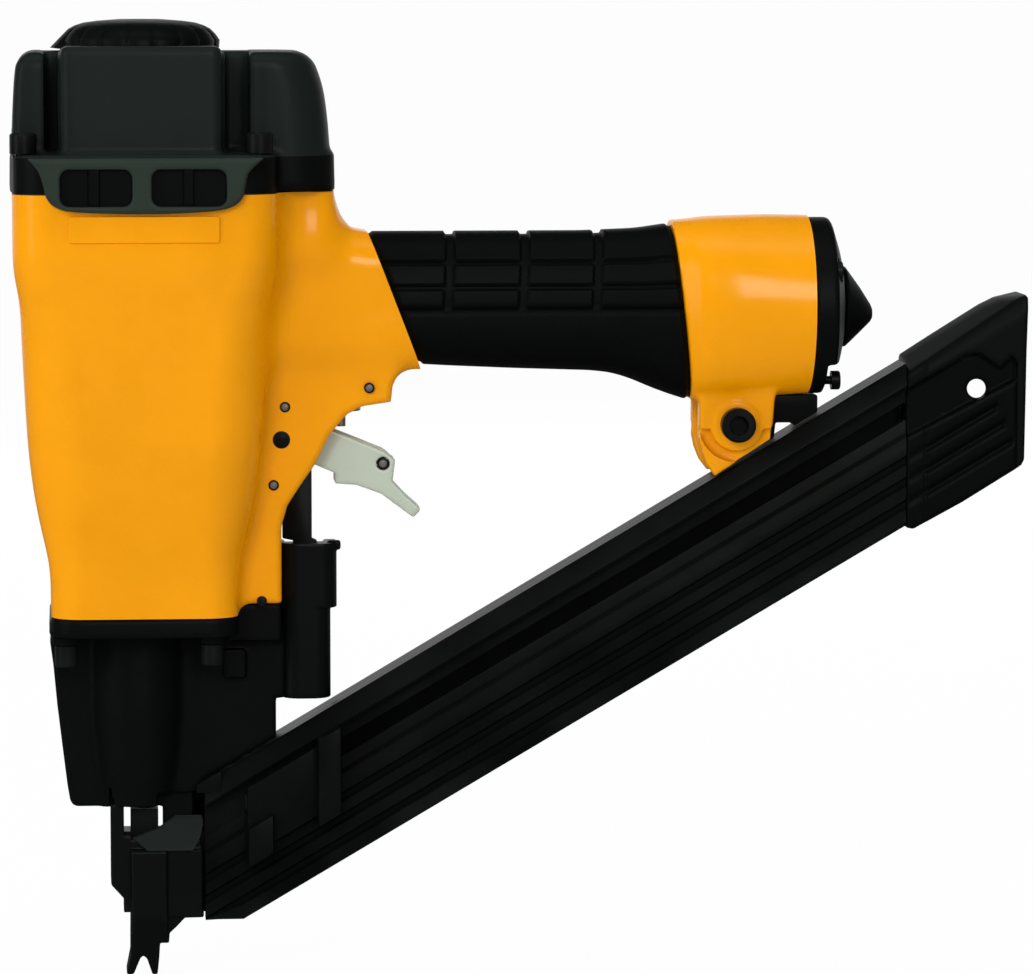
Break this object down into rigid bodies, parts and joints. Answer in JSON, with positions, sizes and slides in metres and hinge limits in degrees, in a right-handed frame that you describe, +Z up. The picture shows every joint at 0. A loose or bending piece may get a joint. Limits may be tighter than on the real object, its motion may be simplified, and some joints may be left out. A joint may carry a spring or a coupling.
{
  "type": "pneumatic nail gun",
  "caption": "Compressed-air nailer with a square barrel, ribbed hand grip, fork-tipped contact nose and a slanted nail magazine under the handle.",
  "frame": {"origin": "middle of the hand grip, on the tool's middle plane", "axes": "+X from the barrel along the handle to the air inlet, +Y from the left side to the right side, +Z up the drive axis away from the fork tip"},
  "size_m": [0.3855, 0.108, 0.3623],
  "materials": {
    "yellow_paint": "satin orange-yellow paint on a cast body",
    "black_casting": "satin black",
    "black_rubber": "moulded, fine grain",
    "grey_rubber": "moulded, satin",
    "bare_steel": "plated",
    "black_steel": "blackened",
    "aluminium": "machined",
    "seal_rubber": "moulded"
  },
  "bodies": {
    "tool_body": {"air_inlet_bush": "aluminium", "body_housing": "yellow_paint", "cap_bolt_1": "black_steel", "cap_bolt_2": "black_steel", "cap_bolt_3": "black_steel", "cap_bolt_4": "black_steel", "cap_gasket": "seal_rubber", "contact_guard": "black_casting", "contact_spring": "bare_steel", "cylinder_cap": "black_casting", "cylinder_sleeve": "aluminium", "deflector_bolt": "black_steel", "end_cap": "black_casting", "end_cap_screw_1": "black_steel", "end_cap_screw_2": "black_steel", "end_cap_screw_3": "black_steel", "grip_sleeve": "black_rubber", "hanger_bolt": "black_steel", "head_valve_spring": "bare_steel", "inlet_plug": "black_rubber", "magazine_bottom_rail": "black_casting", "magazine_hanger": "black_casting", "magazine_left_plate": "black_casting", "magazine_right_plate": "black_casting", "magazine_tail_cover": "black_casting", "magazine_top_rail": "black_casting", "nose_bolt_1": "black_steel", "nose_bolt_2": "black_steel", "nose_bolt_3": "black_steel", "nose_bolt_4": "black_steel", "nose_guide": "black_steel", "nose_housing": "black_casting", "piston_bumper": "seal_rubber", "roll_pin_1": "bare_steel", "roll_pin_2": "bare_steel", "roll_pin_3": "bare_steel", "side_bumper_left": "grey_rubber", "side_bumper_right": "grey_rubber", "trigger_pivot_pin": "black_steel", "trigger_spring": "bare_steel", "valve_body": "aluminium", "valve_spring": "bare_steel"},
    "piston_body": {"piston": "aluminium", "piston_ring": "seal_rubber", "driver_blade": "bare_steel"},
    "head_valve_body": {"head_valve": "black_casting"},
    "deflector_body": {"exhaust_deflector": "black_casting"},
    "contact_body": {"contact_foot": "black_steel", "contact_link": "black_steel", "contact_rod": "black_steel"},
    "trigger_body": {"trigger": "bare_steel", "pawl_pin": "black_steel"},
    "pawl_body": {"trigger_pawl": "bare_steel"},
    "stem_body": {"valve_stem": "bare_steel"},
    "pusher_body": {"pusher_shoe": "bare_steel", "pusher_handle": "black_casting"}
  },
  "joints": [
    {"name": "piston_slide", "type": "slide", "parent": "tool_body", "child": "piston_body", "axis": [0, 0, -1], "range_m": [0, 0.058]},
    {"name": "head_valve_slide", "type": "slide", "parent": "tool_body", "child": "head_valve_body", "axis": [0, 0, 1], "range_m": [0, 0.006], "stiffness_N_per_m": 1500, "deforming": ["head_valve_spring"]},
    {"name": "deflector_turn", "type": "hinge", "parent": "tool_body", "child": "deflector_body", "pos_m": [-0.14975, 0, 0.0946], "axis": [0, 0, 1], "continuous": true},
    {"name": "contact_slide", "type": "slide", "parent": "tool_body", "child": "contact_body", "axis": [0, 0, 1], "range_m": [0, 0.008], "stiffness_N_per_m": 600, "springref_m": -0.01, "deforming": ["contact_spring"]},
    {"name": "trigger_pull", "type": "hinge", "parent": "tool_body", "child": "trigger_body", "pos_m": [-0.09775, 0, -0.0516], "axis": [0, -1, 0], "range_deg": [0, 8], "stiffness_Nm_per_rad": 0.5, "springref_deg": -11.46},
    {"name": "pawl_turn", "type": "hinge", "parent": "trigger_body", "child": "pawl_body", "pos_m": [-0.05905, 0, -0.0617], "axis": [0, 1, 0], "range_deg": [0, 14]},
    {"name": "stem_slide", "type": "slide", "parent": "tool_body", "child": "stem_body", "axis": [0, 0, 1], "range_m": [0, 0.0033], "deforming": ["valve_spring"]},
    {"name": "pusher_slide", "type": "slide", "parent": "tool_body", "child": "pusher_body", "axis": [0.8615, 0, 0.5078], "range_m": [0, 0.24], "stiffness_N_per_m": 25, "springref_m": -0.2}
  ],
  "couplings": [
    {"joint": "stem_slide", "follows": "trigger_pull", "m_per_rad": 0.0229},
    {"joint": "pawl_turn", "follows": "contact_slide", "rad_per_m": 30}
  ]
}
